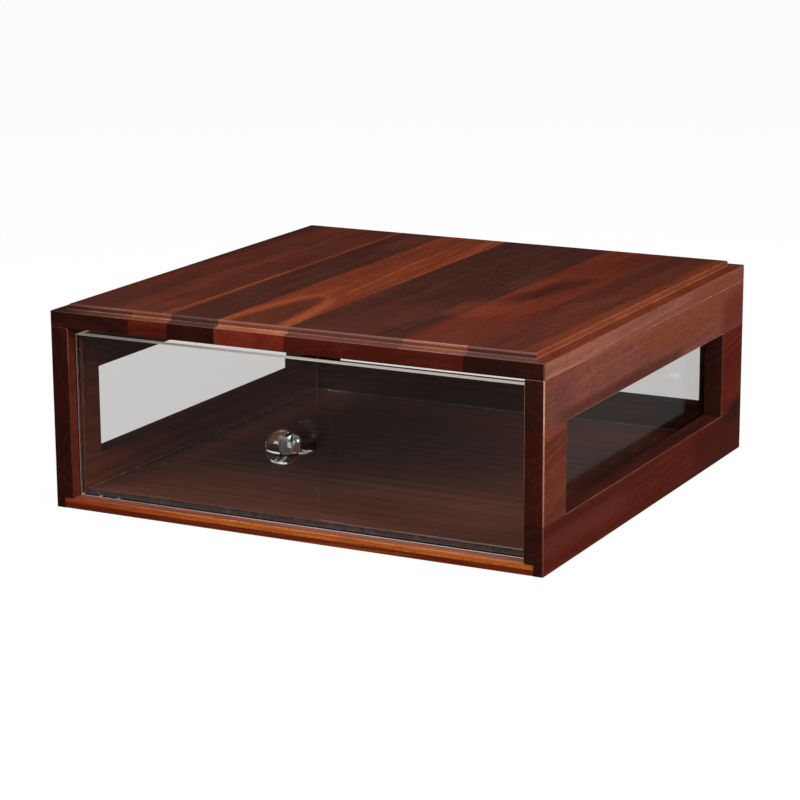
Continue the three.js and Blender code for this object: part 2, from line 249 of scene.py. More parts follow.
def add_arch(tree, colour, side_way, long_way, arch):
    """Lays a cathedral figure over a colour: a dark tongue with a bright rim, open towards the front.
    An arch is its middle, its tip, its half width and its length in mm, and its rim's and inside's stains.
    Its outline is a power curve, ARCH_CURVE, and its rim runs ARCH_RIM outside that"""
    middle, tip, half, length, rim_stain, inner_stain = arch
    behind = add(tree, "ShaderNodeMapRange", {VALUE: long_way, FROM_LOW: tip, FROM_HIGH: tip - length})
    curve = add(tree, "ShaderNodeMath", {0: behind, 1: ARCH_CURVE}, operation="POWER")
    off = add(tree, "ShaderNodeMath", {0: side_way, 1: middle}, operation="SUBTRACT")
    apart = add(tree, "ShaderNodeMath", {0: off}, operation="ABSOLUTE")
    edge = add(tree, "ShaderNodeMath", {0: curve, 1: half}, operation="MULTIPLY")
    inward = add(tree, "ShaderNodeMath", {0: edge, 1: apart}, operation="SUBTRACT")
    from_rim = add(tree, "ShaderNodeMath", {0: inward, 1: ARCH_RIM}, operation="ADD")
    from_rim = add(tree, "ShaderNodeMath", {0: from_rim}, operation="ABSOLUTE")
    on_rim = add(tree, "ShaderNodeMapRange", {
        VALUE: from_rim, FROM_LOW: ARCH_RIM_REACH, FROM_HIGH: ARCH_RIM_CORE, TO_HIGH: ARCH_RIM_STRENGTH,
    }, interpolation_type="SMOOTHSTEP")
    near_tip = add(tree, "ShaderNodeMapRange", {
        VALUE: long_way, FROM_LOW: tip + MARK_FADE, FROM_HIGH: tip - MARK_FADE,
    }, interpolation_type="SMOOTHSTEP")
    rim = add(tree, "ShaderNodeMath", {0: on_rim, 1: near_tip}, operation="MULTIPLY")
    inside = add(tree, "ShaderNodeMapRange", {
        VALUE: inward, FROM_LOW: ARCH_INSIDE_START, FROM_HIGH: ARCH_INSIDE_FULL,
        TO_HIGH: ARCH_INSIDE_STRENGTH,
    }, interpolation_type="SMOOTHSTEP")
    colour = add(tree, "ShaderNodeMix", {SHARE: rim, MIX_A: colour, MIX_B: linear(rim_stain)},
                 MIX_RESULT, data_type="RGBA")
    return add(tree, "ShaderNodeMix", {SHARE: inside, MIX_A: colour, MIX_B: linear(inner_stain)},
               MIX_RESULT, data_type="RGBA")


def stained_acacia(name, stains, grain="y", across="x", heart=(0, 0, -60), tilt=(0, 0), ring=5.0, figure=1.0,
                   curl=0.0, marks=(), arch=None, seed=0):
    """One strip's wood. stains are its dark, middle and light tones. heart is the middle of its growth
    rings in mm, and tilt turns them, in degrees. curl is the strength of a fiddleback figure"""
    material, tree = new_material(name)
    place = add(tree, "ShaderNodeTexCoord").node.outputs["Object"]
    in_mm = add(tree, "ShaderNodeVectorMath", {0: place, 1: (1 / MM, 1 / MM, 1 / MM)}, operation="MULTIPLY")
    strip = add(tree, "ShaderNodeMapping", {
        "Vector": in_mm, "Location": heart,
        "Rotation": (math.radians(tilt[0]), 0, GRAIN_TURN[grain] + math.radians(tilt[1])),
    }, vector_type="TEXTURE")
    shifted = add(tree, "ShaderNodeVectorMath", {0: strip, 1: SEED_STEP * seed}, operation="ADD")

    broad = add(tree, "ShaderNodeVectorMath", {
        0: shifted, 1: (1 / WANDER_PITCH, 1 / WANDER_LENGTH, 1 / WANDER_PITCH),
    }, operation="MULTIPLY")
    wander = add(tree, "ShaderNodeTexNoise", {
        "Vector": broad, "Scale": 1.0, "Detail": 2.0, "Roughness": 0.5,
    }, "Color")
    bent = add(tree, "ShaderNodeVectorMath", {
        0: wander, 1: (RING_BEND * figure, 0, RING_BEND * figure), 2: strip,
    }, operation="MULTIPLY_ADD")
    outward = add(tree, "ShaderNodeVectorMath", {0: bent, 1: (1, 0, 1)}, operation="MULTIPLY")
    radius = add(tree, "ShaderNodeVectorMath", {0: outward}, NUMBER, operation="LENGTH")
    rings = add(tree, "ShaderNodeMath", {0: radius, 1: ring}, operation="DIVIDE")
    ring_tone = add(tree, "ShaderNodeTexNoise", {
        "W": rings, "Scale": 1.0, "Detail": 3.0, "Roughness": 0.65,
    }, noise_dimensions="1D")
    tones = []
    for wide, long, detail in (
        (FIBRE_PITCH, FIBRE_LENGTH, 3.0), (CLOUD_PITCH, CLOUD_LENGTH, 3.0),
        (PORE_PITCH, PORE_LENGTH, 1.0), (CURL_PITCH, CURL_LENGTH, 2.0),
    ):
        stretched = add(tree, "ShaderNodeVectorMath", {
            0: shifted, 1: (1 / wide, 1 / long, 1 / wide),
        }, operation="MULTIPLY")
        tones.append(add(tree, "ShaderNodeTexNoise", {
            "Vector": stretched, "Scale": 1.0, "Detail": detail, "Roughness": 0.6,
        }))
    fibres, clouds, specks, curls = tones
    pores = add(tree, "ShaderNodeMapRange", {VALUE: specks, FROM_LOW: PORE_START, FROM_HIGH: PORE_FULL})

    # Each tone swings about a half, so that together they swing about the middle stain
    depth = MIDDLE_PLACE - (RING_SHARE * figure + FIBRE_SHARE + CLOUD_SHARE + curl) / 2
    for tone, share in (
        (ring_tone, RING_SHARE * figure), (fibres, FIBRE_SHARE), (clouds, CLOUD_SHARE), (curls, curl),
    ):
        depth = add(tree, "ShaderNodeMath", {0: tone, 1: share, 2: depth}, operation="MULTIPLY_ADD")
    colour = add(tree, "ShaderNodeValToRGB", {"Fac": depth})
    ramp = colour.node.color_ramp
    ramp.elements[0].position, ramp.elements[0].color = DARK_PLACE, linear(stains[0])
    ramp.elements[1].position, ramp.elements[1].color = LIGHT_PLACE, linear(stains[2])
    ramp.elements.new(MIDDLE_PLACE).color = linear(stains[1])

    drifted = add(tree, "ShaderNodeVectorMath", {
        0: wander, 1: MARK_DRIFT * 2, 2: in_mm,
    }, operation="MULTIPLY_ADD")
    mark_place = add(tree, "ShaderNodeVectorMath", {0: drifted, 1: MARK_DRIFT}, operation="SUBTRACT")
    parts = add(tree, "ShaderNodeSeparateXYZ", {"Vector": mark_place}).node.outputs
    side_way, long_way = parts[across.upper()], parts[grain.upper()]
    for mark in marks:
        colour = add_mark(tree, colour, side_way, long_way, mark)
    if arch:
        colour = add_arch(tree, colour, side_way, long_way, arch)

    pore_share = add(tree, "ShaderNodeMath", {0: pores, 1: PORE_SHARE}, operation="MULTIPLY")
    colour = add(tree, "ShaderNodeMix", {SHARE: pore_share, MIX_A: colour, MIX_B: linear(PORE_STAIN)},
                 MIX_RESULT, data_type="RGBA")
    roughness = add(tree, "ShaderNodeMapRange", {
        VALUE: fibres, FROM_LOW: NOISE_LOW, FROM_HIGH: NOISE_HIGH, TO_LOW: 0.3, TO_HIGH: 0.42,
    })
    relief = add(tree, "ShaderNodeMath", {0: fibres, 1: FIBRE_RELIEF, 2: pores}, operation="MULTIPLY_ADD")
    bump = add(tree, "ShaderNodeBump", {"Height": relief, "Strength": 0.35, "Distance": -RELIEF_DEPTH})
    shader = add(tree, "ShaderNodeBsdfPrincipled", {
        "Base Color": colour, "Roughness": roughness, "Normal": bump,
        "IOR": LACQUER_IOR, "Specular IOR Level": LACQUER_LEVEL,
    })
    add(tree, "ShaderNodeOutputMaterial", {"Surface": shader})
    return material


# An arris or a moulding where sanding and handling have thinned the stain, so that the paler wood under
# it shows, more in some places along it than in others, and the cutter has left fine stripes across the
# grain, drawn about twice as wide as they are. The pale tone is also a painted highlight, for the lamps'
# glints along the rounded arrises and in the moulding. fade is the axis, the place in mm where the pale
# tone starts to show, and the place where it shows in full

WEAR_AND_HIGHLIGHT_PITCH = 55
STRIPE_PITCH = 1.6
STRIPE_LENGTH = 14
WEAR_AND_HIGHLIGHT_LOW, WEAR_AND_HIGHLIGHT_HIGH = 0.75, 1.25
WEAR_AND_HIGHLIGHT_SWING = 0.35


def thinned_stain_and_highlight(name, stain, bare, share=0.5, fade=None):
    """share is how much of the pale tone, part wood and part painted highlight, shows"""
    material, tree = new_material(name)
    place = add(tree, "ShaderNodeTexCoord").node.outputs["Object"]
    wear_and_highlight = add(tree, "ShaderNodeTexNoise", {
        "Vector": place, "Scale": 1 / (WEAR_AND_HIGHLIGHT_PITCH * MM), "Detail": 3.0, "Roughness": 0.6,
    })
    in_stripes = add(tree, "ShaderNodeVectorMath", {
        0: place, 1: (1 / (STRIPE_PITCH * MM), 1 / (STRIPE_LENGTH * MM), 1 / (STRIPE_PITCH * MM)),
    }, operation="MULTIPLY")
    stripes = add(tree, "ShaderNodeTexNoise", {
        "Vector": in_stripes, "Scale": 1.0, "Detail": 2.0, "Roughness": 0.6,
    })
    both = add(tree, "ShaderNodeMath", {0: wear_and_highlight, 1: stripes}, operation="ADD")
    wear_and_highlight_share = add(tree, "ShaderNodeMapRange", {
        VALUE: both, FROM_LOW: WEAR_AND_HIGHLIGHT_LOW, FROM_HIGH: WEAR_AND_HIGHLIGHT_HIGH,
        TO_LOW: share - WEAR_AND_HIGHLIGHT_SWING, TO_HIGH: share + WEAR_AND_HIGHLIGHT_SWING,
    })
    if fade:
        axis, start, end = fade
        along = add(tree, "ShaderNodeSeparateXYZ", {"Vector": place}).node.outputs[axis.upper()]
        shown = add(tree, "ShaderNodeMapRange", {
            VALUE: along, FROM_LOW: start * MM, FROM_HIGH: end * MM,
        }, interpolation_type="SMOOTHSTEP")
        wear_and_highlight_share = add(tree, "ShaderNodeMath", {0: wear_and_highlight_share, 1: shown}, operation="MULTIPLY")
    colour = add(tree, "ShaderNodeMix", {SHARE: wear_and_highlight_share, MIX_A: linear(stain), MIX_B: linear(bare)},
                 MIX_RESULT, data_type="RGBA")
    roughness = add(tree, "ShaderNodeMapRange", {
        VALUE: wear_and_highlight, FROM_LOW: NOISE_LOW, FROM_HIGH: NOISE_HIGH, TO_LOW: 0.28, TO_HIGH: 0.4,
    })
    shader = add(tree, "ShaderNodeBsdfPrincipled", {
        "Base Color": colour, "Roughness": roughness, "IOR": LACQUER_IOR, "Specular IOR Level": ARRIS_LEVEL,
    })
    add(tree, "ShaderNodeOutputMaterial", {"Surface": shader})
    return material


# Cast acrylic sheet, laser-cut and flame-polished, and the same acrylic turned and buffed for the
# knob. It bends and mirrors light like glass. The sheet has a faint long ripple from casting, and a few
# wiping marks that are a little duller

ACRYLIC_IOR = 1.49
WIPING_PITCH = 40
RIPPLE_PITCH = 90


def cast_acrylic(name, ripple):
    material, tree = new_material(name)
    place = add(tree, "ShaderNodeTexCoord").node.outputs["Object"]
    marks = add(tree, "ShaderNodeTexNoise", {
        "Vector": place, "Scale": 1 / (WIPING_PITCH * MM), "Detail": 4.0, "Roughness": 0.6,
    })
    roughness = add(tree, "ShaderNodeMapRange", {
        VALUE: marks, FROM_LOW: 0.6, FROM_HIGH: 0.8, TO_HIGH: 0.012,
    })
    waves = add(tree, "ShaderNodeTexNoise", {
        "Vector": place, "Scale": 1 / (RIPPLE_PITCH * MM), "Detail": 1.0, "Roughness": 0.4,
    })
    bump = add(tree, "ShaderNodeBump", {"Height": waves, "Strength": 1.0, "Distance": ripple})
    clear = add(tree, "ShaderNodeBsdfPrincipled", {
        "Base Color": linear("#fefdfc"), "Transmission Weight": 1.0, "IOR": ACRYLIC_IOR,
        "Roughness": roughness, "Normal": bump,
    })
    # Light from the lamps goes straight on through, as it would once bent twice
    path = add(tree, "ShaderNodeLightPath").node.outputs
    lit_through = add(tree, "ShaderNodeMath", {
        0: path["Is Shadow Ray"], 1: path["Is Diffuse Ray"],
    }, operation="MAXIMUM")
    passing = add(tree, "ShaderNodeBsdfTransparent", {"Color": linear("#fafaf9")})
    mixed = add(tree, "ShaderNodeMixShader", {0: lit_through, 1: clear, 2: passing})
    add(tree, "ShaderNodeOutputMaterial", {"Surface": mixed})
    return material


# The same acrylic where it was cut, at its top edges and rounded arrises, which looks pale and a little
# frosted, with duller patches. The light that a cut pipes from the faces is painted on as a glow of the
# edge's own, dimmer in the left part, which is further from the lamp at the right. The weld beads, the
# weld films and the sheet ends beside the wood are the same with duller tones and little or no painted
# glow, and their rose and brown tones are painted reflections of the wood round them

CUT_PITCH = 9
PAINTED_GLOW_LEFT, PAINTED_GLOW_RIGHT = -150 * MM, 10 * MM
DIM_SHARE = 0.4


def cut_acrylic_edge_painted_glow(name, pale, dull, glow):
    material, tree = new_material(name)
    place = add(tree, "ShaderNodeTexCoord").node.outputs["Object"]
    cut_marks = add(tree, "ShaderNodeTexNoise", {
        "Vector": place, "Scale": 1 / (CUT_PITCH * MM), "Detail": 4.0, "Roughness": 0.7,
    })
    colour = add(tree, "ShaderNodeMix", {SHARE: cut_marks, MIX_A: linear(dull), MIX_B: linear(pale)},
                 MIX_RESULT, data_type="RGBA")
    roughness = add(tree, "ShaderNodeMapRange", {
        VALUE: cut_marks, FROM_LOW: NOISE_LOW, FROM_HIGH: NOISE_HIGH, TO_LOW: 0.15, TO_HIGH: 0.35,
    })
    across = add(tree, "ShaderNodeSeparateXYZ", {"Vector": place}, "X")
    painted_glow_share = add(tree, "ShaderNodeMapRange", {
        VALUE: across, FROM_LOW: PAINTED_GLOW_LEFT, FROM_HIGH: PAINTED_GLOW_RIGHT, TO_LOW: DIM_SHARE,
    })
    painted_glow_colour = add(tree, "ShaderNodeMix", {SHARE: painted_glow_share, MIX_A: (0, 0, 0, 1), MIX_B: linear(pale)},
                MIX_RESULT, data_type="RGBA")
    # The emission is a painted glow: the edge gives off light of its own, weaker towards the left
    shader = add(tree, "ShaderNodeBsdfPrincipled", {
        "Base Color": colour, "Roughness": roughness, "IOR": ACRYLIC_IOR,
        "Emission Color": painted_glow_colour, "Emission Strength": glow,
    })
    add(tree, "ShaderNodeOutputMaterial", {"Surface": shader})
    return material


# Turned metal, stainless in the knob and zinc-plated in the screws, with fine tool marks round its axis.
# There are this many marks to a mm along the axis, and this many changes of tone to a mm round it

TOOL_MARKS = 3
TONE_CHANGES = 0.15
TOOL_MARK_DEPTH = 0.05 * MM


def turned_steel(name, marks_along, dark, light):
    material, tree = new_material(name)
    place = add(tree, "ShaderNodeTexCoord").node.outputs["Object"]
    closeness = [(TOOL_MARKS if axis == marks_along else TONE_CHANGES) / MM for axis in "xyz"]
    stretched = add(tree, "ShaderNodeVectorMath", {0: place, 1: closeness}, operation="MULTIPLY")
    tool_marks = add(tree, "ShaderNodeTexNoise", {
        "Vector": stretched, "Scale": 1.0, "Detail": 3.0, "Roughness": 0.6,
    })
    roughness = add(tree, "ShaderNodeMapRange", {
        VALUE: tool_marks, FROM_LOW: NOISE_LOW, FROM_HIGH: NOISE_HIGH, TO_LOW: 0.2, TO_HIGH: 0.4,
    })
    colour = add(tree, "ShaderNodeMix", {SHARE: tool_marks, MIX_A: linear(dark), MIX_B: linear(light)},
                 MIX_RESULT, data_type="RGBA")
    bump = add(tree, "ShaderNodeBump", {"Height": tool_marks, "Strength": 0.3, "Distance": TOOL_MARK_DEPTH})
    shader = add(tree, "ShaderNodeBsdfPrincipled", {
        "Base Color": colour, "Metallic": 1.0, "Roughness": roughness, "Normal": bump,
    })
    add(tree, "ShaderNodeOutputMaterial", {"Surface": shader})
    return material


# Bare beech dowel: pale and dry, with small darker flecks

FLECK_PITCH = 1.2


def bare_beech(name):
    material, tree = new_material(name)
    place = add(tree, "ShaderNodeTexCoord").node.outputs["Object"]
    flecks = add(tree, "ShaderNodeTexNoise", {
        "Vector": place, "Scale": 1 / (FLECK_PITCH * MM), "Detail": 3.0, "Roughness": 0.7,
    })
    colour = add(tree, "ShaderNodeMix", {SHARE: flecks, MIX_A: linear("#a97845"), MIX_B: linear("#d9b27c")},
                 MIX_RESULT, data_type="RGBA")
    shader = add(tree, "ShaderNodeBsdfPrincipled", {"Base Color": colour, "Roughness": 0.75, "IOR": 1.5})
    add(tree, "ShaderNodeOutputMaterial", {"Surface": shader})
    return material


# The numbers of a strip's finishes: its faces, its ends, its arrises, and in the top board the moulding's
# sharp line, its shallow ledge and its upright fillet. The outermost staves have all but the first again,
# SIDE_SHIFT further on, for the faces turned sideways

FLAT, END, ARRIS, LINE, LEDGE, FILLET = range(6)
SIDE_SHIFT = 5


# Mesh tools

def new_object(name, bm, materials=()):
    mesh = bpy.data.meshes.new(name)
    bmesh.ops.recalc_face_normals(bm, faces=bm.faces[:])
    bm.to_mesh(mesh)
    bm.free()
    for material in materials:
        mesh.materials.append(material)
    piece = bpy.data.objects.new(name, mesh)
    scene.collection.objects.link(piece)
    return piece


def stand_for(piece, body, slot, *nodes):
    """Makes a piece ride on its body in place of the nodes that it shows"""
    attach(piece, body)
    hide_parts(*nodes)


def block(bm, low, high):
    """Adds a closed box"""
    middle = (Vector(low) + Vector(high)) / 2
    size = Vector(high) - Vector(low)
    bmesh.ops.create_cube(bm, size=1, matrix=Matrix.Translation(middle) @ Matrix.Diagonal((*size, 1)))


def arc(centre, radius, start, end, steps):
    """Points on a circle, by angles in degrees"""
    angles = [math.radians(start + (end - start) * step / steps) for step in range(steps + 1)]
    return [(centre[0] + radius * math.cos(a), centre[1] + radius * math.sin(a)) for a in angles]


def ease(bm, edges, radius, steps=ARRIS_STEPS, finish=ARRIS):
    """Rounds arrises, and gives the rounded faces a finish of their own"""
    bmesh.ops.bevel(bm, geom=edges, offset=radius, offset_type="OFFSET", segments=steps, profile=0.5,
                    affect="EDGES", clamp_overlap=True, material=finish)


def edges_where(bm, test):
    """The edges whose two ends both pass a test"""
    return [edge for edge in bm.edges if all(test(vertex.co) for vertex in edge.verts)]


def near(a, b):
    return abs(a - b) < TOUCH


def within(value, low, high):
    return low - TOUCH < value < high + TOUCH


def cut_by(blank, cutter_mesh, operation):
    """What is left of a blank, as a new mesh, once a cutter has cut it"""
    cutter = new_object("cutter", cutter_mesh)
    modifier = blank.modifiers.new("cut", "BOOLEAN")
    modifier.operation = operation
    modifier.solver = "EXACT"
    modifier.object = cutter
    made = bmesh.new()
    made.from_object(blank, bpy.context.evaluated_depsgraph_get())
    blank.modifiers.remove(modifier)
    bpy.data.objects.remove(cutter)
    bmesh.ops.remove_doubles(made, verts=made.verts[:], dist=SAME_POINT)
    bmesh.ops.dissolve_degenerate(made, dist=SAME_POINT, edges=made.edges[:])
    return made


def part_of(blank, low, high, operation="INTERSECT"):
    """The part of a blank inside a box, or outside it, as a new mesh"""
    cutter_mesh = bmesh.new()
    block(cutter_mesh, low, high)
    return cut_by(blank, cutter_mesh, operation)


def turned(profile, sides, y, z):
    """A solid turned about the line along Y through a height, from points of radius and distance out"""
    bm = bmesh.new()
    rings = []
    for radius, reach in profile:
        if radius < SAME_POINT:
            rings.append([bm.verts.new((0, y - reach, z))])
        else:
            turns = [2 * math.pi * side / sides for side in range(sides)]
            rings.append([
                bm.verts.new((radius * math.cos(a), y - reach, z + radius * math.sin(a))) for a in turns
            ])
    for lower, upper in zip(rings, rings[1:]):
        for i in range(sides):
            j = (i + 1) % sides
            corners = [
                lower[i % len(lower)], lower[j % len(lower)], upper[j % len(upper)], upper[i % len(upper)],
            ]
            unique = list(dict.fromkeys(corners))
            if len(unique) > 2:
                bm.faces.new(unique)
    for face in bm.faces:
        face.smooth = True
    bmesh.ops.recalc_face_normals(bm, faces=bm.faces[:])
    return bm


def hollowed_block(low, high, hollow_low, hollow_high):
    """A block with a box cut out of it"""
    bm = bmesh.new()
    block(bm, low, high)
    blank = new_object("block", bm)
    made = part_of(blank, hollow_low, hollow_high, "DIFFERENCE")
    bpy.data.objects.remove(blank)
    bmesh.ops.dissolve_limit(
        made, angle_limit=math.radians(FLAT_TURN), verts=made.verts[:], edges=made.edges[:],
    )
    return made


def sharpen(piece, degrees):
    piece.data.set_sharp_from_angle(angle=math.radians(degrees))


# The woods, one for each strip. Each set of stains is a dark, a middle and a light tone

BLACK_BROWN = ("#2f170f", "#40201a", "#553022")
OXBLOOD = ("#3c1b12", "#54271b", "#6e3322")
RUSSET = ("#441a0f", "#622819", "#7e3a23")
CHESTNUT = ("#522414", "#70301c", "#8e4626")
ROSE_BROWN_AND_SHEEN = ("#643229", "#80473a", "#96584a")
LEFT_RED = ("#5a2618", "#7a3824", "#985034")
AMBER = ("#822a08", "#c05412", "#e08430")

STREAK = "#8a4a2a"
RUST = "#7c3a1e"

STAVE_WOODS = {
    "top_stave_1": dict(
        stains=OXBLOOD, heart=(-190, 0, 60), tilt=(1, 1), ring=7, seed=1, figure=0.8,
        marks=[
            (-226, -222, 36, -260, 260, "#3b1c14", 0.8), (-156, -160, 12, -200, 100, "#622a1c", 0.5),
            (-186, -176, 30, -260, -110, "#44231b", 0.7),
        ],
    ),
    "top_stave_2": dict(
        stains=OXBLOOD, heart=(-120, 0, 40), tilt=(0.5, 0), ring=5, seed=2, figure=0.8,
        marks=[(-114, -112, 3.5, -260, 260, RUST, 0.6), (-120, -112, 2.2, -260, -20, STREAK, 0.55)],
    ),
    "top_stave_3": dict(
        stains=BLACK_BROWN, heart=(-60, 0, 30), ring=6, seed=3, figure=0.35,
        marks=[(-86, -86, 15, 120, 200, "#5c2f1f", 0.6)],
    ),
    "top_stave_4": dict(
        stains=CHESTNUT, heart=(-30, -120, 190), tilt=(3.2, 2), ring=7, seed=4, figure=0.8,
        arch=(-33, -88, 27, 130, "#96502c", "#42211a"),
        marks=[(-20, -40, 3, -80, 217, "#8e4a28", 0.5), (-40, -30, 20, 120, 260, "#642f20", 0.6)],
    ),
    "top_stave_5": dict(
        stains=BLACK_BROWN, heart=(60, 0, 20), ring=8, seed=5, figure=0.3, curl=0.25,
        marks=[(30, 60, 40, -260, -90, "#52271c", 0.5), (92, 92, 14, -120, -60, "#64301f", 0.7)],
    ),
    "top_stave_6": dict(
        stains=RUSSET, heart=(130, 0, 10), ring=6, seed=6, figure=0.5,
        marks=[
            (118, 136, 18, -40, 60, "#34170f", 0.75), (112, 112, 18, -110, -60, "#74361f", 0.6),
            (130, 130, 34, -260, -120, "#54281d", 0.6),
        ],
    ),
    "top_stave_7": dict(
        stains=OXBLOOD, heart=(200, 0, 40), ring=6, seed=7, figure=0.5,
        marks=[(166, 172, 10, -30, 217, "#421c13", 0.5), (207, 207, 8, -190, 260, RUST, 0.4)],
    ),
}

# End grain drinks more stain than the faces, and some staves far more than others

STAVE_ENDS = {
    "top_stave_1": ("#26100b", "#38160f", "#502018"),
    "top_stave_2": ("#4a160d", "#642014", "#7e2d1d"),
    "top_stave_3": ("#240d08", "#36140e", "#461c14"),
    "top_stave_4": ("#661f12", "#822c1c", "#9a4028"),
    "top_stave_5": ("#441409", "#5a1c11", "#70291b"),
    "top_stave_6": ("#461409", "#5e2016", "#742c20"),
    "top_stave_7": ("#22100b", "#341610", "#4a2117"),
}
RIM_WOODS = {
    "top_stave_1": dict(stains=BLACK_BROWN, across="z", heart=(-250, 0, 150), seed=31, figure=0.5),
    # The right rim's rose tones, mauve towards the front, are partly a painted sheen, as on the upper rail below
    # it
    "top_stave_7": dict(
        stains=("#724236", "#905646", "#a86a56"), across="z", heart=(260, 0, 190), ring=3, seed=32,
        figure=0.5, curl=0.3,
        marks=[
            (155, 151, 3, -260, -150, "#704239", 0.7), (158.6, 154.4, 0.7, -230, -130, "#b98a5a", 0.6),
            (160, 160, 9, 80, 260, "#86432f", 0.7),
        ],
    ),
}

# The moulding's arris, its sharp line, its ledge and its fillet, stave by stave. Their pale tones are
# thinned stain and also painted highlights, most of all the cream of the sharp lines

# The first stave's painted highlight along its front starts between these places
PAINTED_HIGHLIGHT_START = ("x", -222, -176)

STAVE_MOULDINGS = {
    "top_stave_1": (
        ("#4a2a24", "#825446", 0.6, PAINTED_HIGHLIGHT_START), ("#5a3c36", "#c48c6c", 0.7, PAINTED_HIGHLIGHT_START),
        ("#2e1611", "#5c3426", 0.6, PAINTED_HIGHLIGHT_START), ("#3c1c15", "#723a2a", 0.6, PAINTED_HIGHLIGHT_START),
    ),
    "top_stave_2": (
        ("#62342a", "#8a5040"), ("#aa6642", "#ecac7c", 0.6),
        ("#4e2416", "#7c4228"), ("#6c3020", "#9c5636"),
    ),
    "top_stave_3": (
        ("#402622", "#5a3832"), ("#684640", "#947064"),
        ("#2e1a17", "#462a25"), ("#46241e", "#5e362c"),
    ),
    "top_stave_4": (
        ("#6c3e32", "#8e5444"), ("#b4744e", "#f2b68a", 0.6),
        ("#6a3420", "#a86644"), ("#703a28", "#9c5a3e"),
    ),
    "top_stave_5": (
        ("#5c342c", "#7a483e"), ("#84564c", "#bc8672", 0.6),
        ("#4a2822", "#66382e"), ("#622e26", "#824a3c"),
    ),
    "top_stave_6": (
        ("#7a463a", "#a46a58"), ("#9c664e", "#dc9c7c", 0.6),
        ("#542e24", "#744434"), ("#743426", "#9c543a"),
    ),
    "top_stave_7": (
        ("#502e28", "#70443c"), ("#7c564e", "#ae8274"),
        ("#3e2622", "#583832"), ("#502820", "#6c382c"),
    ),
}
# The sideways faces' moulding. At the right, the orange of the line and the fillet is partly painted light from
# the lamp at the right
SIDE_MOULDINGS = {
    "top_stave_1": (
        ("#4a2a24", "#6c4438", 0.4), ("#4a2a24", "#6c4438", 0.4),
        ("#301610", "#48241a", 0.4), ("#3c1c14", "#5c3022", 0.4),
    ),
    "top_stave_7": (
        ("#662e1c", "#8a482c"), ("#6c3824", "#a06442", 0.6),
        ("#461a0e", "#6c2c18"), ("#6e3018", "#94481e"),
    ),
}

# The side and back strips: their faces, their ends and edges, and their arrises

LEFT_MOUTH = (80, 80, 300, -260, -198, "#66291b", 0.7)

RAIL_WOODS = {
    # The right upper rail's rose tones, mauve at the front and orange to the back, are partly a painted sheen
    "right_upper_rail": dict(
        stains=ROSE_BROWN_AND_SHEEN, heart=(260, 0, 190), tilt=(1.2, 0), ring=5, seed=11, figure=0.4, curl=0.35,
        marks=[
            (136, 149, 1.0, -160, 120, "#a4644a", 0.4), (152, 152, 3, -60, 260, "#8e4c2e", 0.6),
            (113, 117, 12, -190, 40, "#4e241c", 0.65), (140, 140, 22, -20, 190, "#85422c", 0.75),
            (130, 130, 26, 150, 260, "#6c2a1e", 0.8), (132, 132, 30, -260, -150, "#683a34", 0.55),
        ],
    ),
    "right_front_stile": dict(
        stains=("#4a2014", "#6c3020", "#8a442c"), heart=(250, -190, 60), tilt=(9, 4), ring=3.5, seed=12,
        figure=0.7, marks=[(108, 116, 8, -260, -170, "#8a4632", 0.6)],
    ),
    "right_rear_stile": dict(
        stains=("#46130a", "#641b0c", "#802c16"), heart=(240, 190, 50), tilt=(8, 3), ring=4, seed=13,
        figure=0.8, marks=[(36, 42, 15, 178, 260, "#260d09", 0.9)],
    ),
    "right_lower_rail": dict(
        stains=("#3e1409", "#571c0f", "#712818"), heart=(250, 0, -30), tilt=(1, 0), ring=6, seed=14,
        figure=0.6, curl=0.2,
        marks=[
            (22, 22, 12, -260, -60, "#683026", 0.5), (20, 20, 30, 100, 260, "#481005", 0.75),
            (36, 36, 9, 178, 260, "#2c100a", 0.8),
        ],
    ),
    "left_upper_rail": dict(
        stains=LEFT_RED, heart=(-250, 0, 150), ring=5, seed=15, figure=0.7, marks=[LEFT_MOUTH],
    ),
    "left_front_stile": dict(
        stains=LEFT_RED, heart=(-250, 0, 90), ring=4, seed=16, figure=0.8, marks=[LEFT_MOUTH],
    ),
    "left_rear_stile": dict(stains=OXBLOOD, heart=(-250, 0, 60), ring=4, seed=17, figure=0.7),
    "left_lower_rail": dict(
        stains=LEFT_RED, heart=(-250, 0, -20), ring=5, seed=18, figure=0.7, marks=[LEFT_MOUTH],
    ),
}
# The right strips' ends and edges take in the window's sill and jambs, and are dark partly as painted shade
# inside the window
RIGHT_END_AND_SHADE = ("#2c130d", "#3e1a13", "#52261b")
RIGHT_STILE_END = ("#34110b", "#4a1b12", "#5e281d")
LEFT_END = ("#290e0a", "#3b1510", "#511f17")
# The right front arrises' cream is thinned stain and a painted highlight, fading out towards the foot
RIGHT_ARRIS_AND_HIGHLIGHT = ("#6c3a28", "#dcaa84", 0.75, ("z", -30, 150))
RAIL_EDGES = {
    "right_upper_rail": (RIGHT_END_AND_SHADE, RIGHT_ARRIS_AND_HIGHLIGHT),
    "right_front_stile": (RIGHT_STILE_END, RIGHT_ARRIS_AND_HIGHLIGHT),
    "right_rear_stile": (RIGHT_END_AND_SHADE, ("#48201a", "#7a4c40", 0.4)),
    "right_lower_rail": (RIGHT_END_AND_SHADE, ("#5e2c1c", "#8c5640", 0.45)),
    "left_upper_rail": (LEFT_END, ("#4a2016", "#a4664a")),
    "left_front_stile": (LEFT_END, ("#34160f", "#74483c")),
    "left_rear_stile": (LEFT_END, ("#3c1c14", "#6c4438", 0.4)),
    "left_lower_rail": (LEFT_END, ("#34160f", "#5c382c", 0.4)),
}

# The back's strips take the stain alike, each with the heart of its rings at a height of its own

